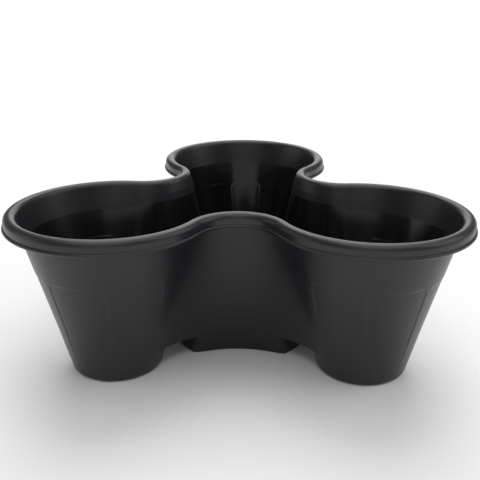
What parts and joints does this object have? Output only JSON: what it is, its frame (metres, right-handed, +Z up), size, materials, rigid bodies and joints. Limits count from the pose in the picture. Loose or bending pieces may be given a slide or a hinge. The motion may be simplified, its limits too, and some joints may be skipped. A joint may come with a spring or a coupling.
{
  "type": "stackable planter tier",
  "caption": "Three-lobed stackable strawberry planter tier: open tapered cups round a centre pedestal, rolled rim, and channels underneath that seat on the tier below.",
  "frame": {"origin": "on the three-fold axis, on the underside of the centre pedestal, which lies in the plane that the tier stands on", "axes": "+Z up, along the three-fold axis; +Y towards the back lobe; +X towards the front right lobe's side"},
  "size_m": [0.3998, 0.3701, 0.149],
  "materials": {
    "charcoal_polypropylene": "satin moulded, glossier inside the cups"
  },
  "bodies": {
    "root": {"lobe_rim_back": "charcoal_polypropylene", "lobe_rim_front_left": "charcoal_polypropylene", "lobe_rim_front_right": "charcoal_polypropylene", "waist_rim_front": "charcoal_polypropylene", "waist_rim_back_right": "charcoal_polypropylene", "waist_rim_back_left": "charcoal_polypropylene", "cup_wall_back": "charcoal_polypropylene", "cup_wall_front_left": "charcoal_polypropylene", "cup_wall_front_right": "charcoal_polypropylene", "cup_channel_wall_back": "charcoal_polypropylene", "cup_channel_wall_front_left": "charcoal_polypropylene", "cup_channel_wall_front_right": "charcoal_polypropylene", "cup_floor_back": "charcoal_polypropylene", "cup_floor_front_left": "charcoal_polypropylene", "cup_floor_front_right": "charcoal_polypropylene", "waist_wall_front": "charcoal_polypropylene", "waist_wall_back_right": "charcoal_polypropylene", "waist_wall_back_left": "charcoal_polypropylene", "channel_ceiling_back": "charcoal_polypropylene", "channel_ceiling_front_left": "charcoal_polypropylene", "channel_ceiling_front_right": "charcoal_polypropylene", "pedestal_channel_wall_back": "charcoal_polypropylene", "pedestal_channel_wall_front_left": "charcoal_polypropylene", "pedestal_channel_wall_front_right": "charcoal_polypropylene", "pedestal_waist_wall_front": "charcoal_polypropylene", "pedestal_waist_wall_back_right": "charcoal_polypropylene", "pedestal_waist_wall_back_left": "charcoal_polypropylene", "centre_floor": "charcoal_polypropylene"}
  },
  "joints": []
}
